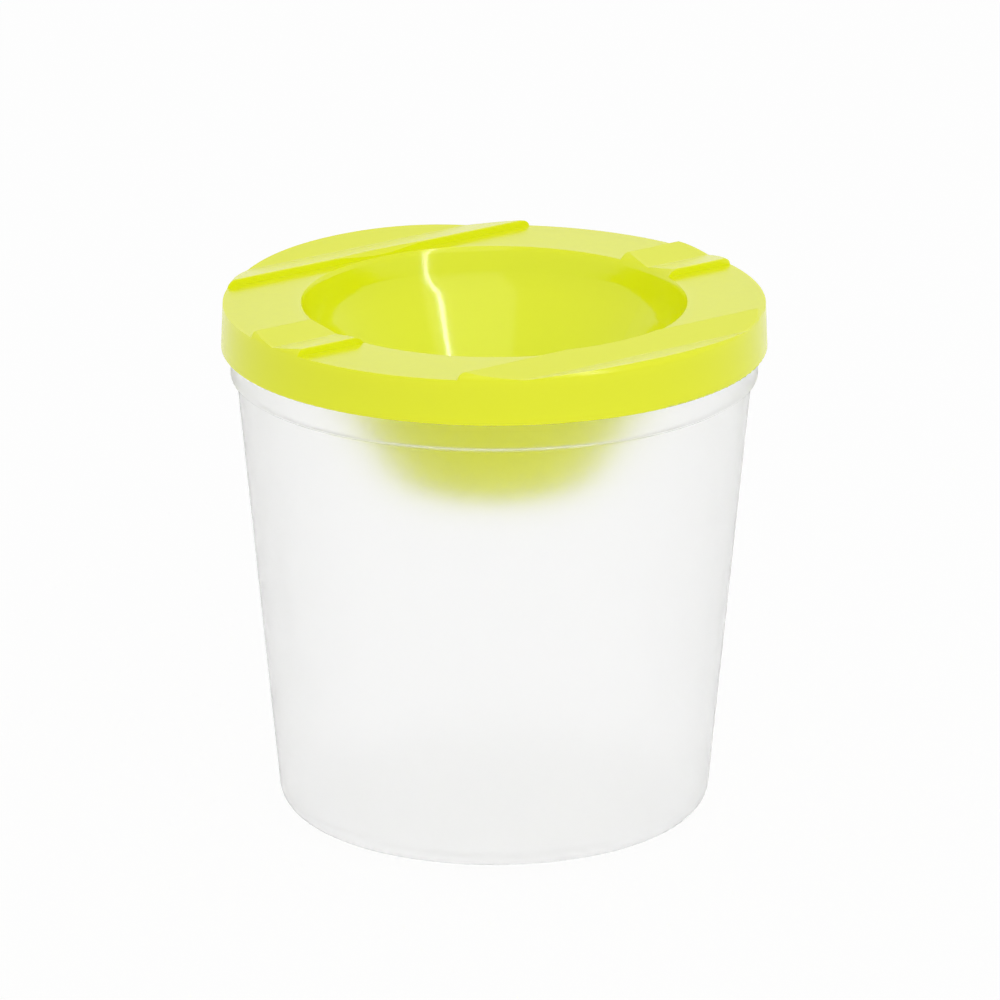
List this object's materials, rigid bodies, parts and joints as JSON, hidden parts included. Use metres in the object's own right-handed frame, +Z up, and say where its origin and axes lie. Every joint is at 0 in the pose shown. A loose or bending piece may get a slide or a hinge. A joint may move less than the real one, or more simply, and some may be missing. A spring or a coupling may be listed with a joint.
{
  "type": "paint cup with lid",
  "caption": "Tapered round translucent cup for paint or rinsing water, with a push-on lid that has a funnel and V-shaped brush rests.",
  "frame": {"origin": "on the table, under the middle of the cup", "axes": "+Z up out of the cup's mouth; the brush rests of the lid run along X; the part looks the same from +Y and -Y, and +Y points to the far left in the picture"},
  "size_m": [0.09, 0.09, 0.0884],
  "materials": {
    "cup": "frosted translucent, near white",
    "lid": "glossy, lime green"
  },
  "bodies": {
    "cup": {"cup": "cup"},
    "lid": {"lid": "lid"}
  },
  "joints": [
    {"name": "lid_lift", "type": "slide", "parent": "cup", "child": "lid", "axis": [0, 0, 1], "range_m": [0, 0.045]}
  ]
}
